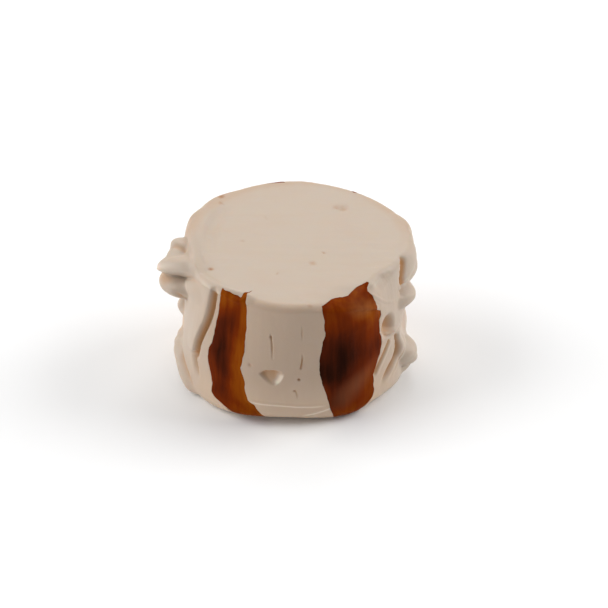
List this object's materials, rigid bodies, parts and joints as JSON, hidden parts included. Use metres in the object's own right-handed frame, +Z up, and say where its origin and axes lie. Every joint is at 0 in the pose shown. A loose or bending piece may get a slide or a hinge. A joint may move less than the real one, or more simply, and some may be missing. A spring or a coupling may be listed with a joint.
{
  "type": "salt water taffy piece",
  "caption": "Unwrapped piece of pulled taffy: a short cut of cream rope with caramel stripes, flat cut faces above and below, and sides crumpled by the wrapper's twists.",
  "frame": {"origin": "middle of the base, below the middle of the piece's outline", "axes": "+Z up along the rope's axis between the two cut faces, +X from the longer crumpled side to the shorter one, -Y towards the front with the two wide stripes"},
  "size_m": [0.0272, 0.0245, 0.0155],
  "materials": {
    "cream_taffy": "waxy cream taffy, satin, slightly translucent",
    "caramel_taffy": "dark caramel taffy, semi-gloss, amber where it is thin"
  },
  "bodies": {
    "root": {"taffy_body": "cream_taffy", "stripe_front_left": "caramel_taffy", "stripe_front_right": "caramel_taffy", "stripe_back_right": "caramel_taffy", "stripe_back_left": "caramel_taffy"}
  },
  "joints": []
}
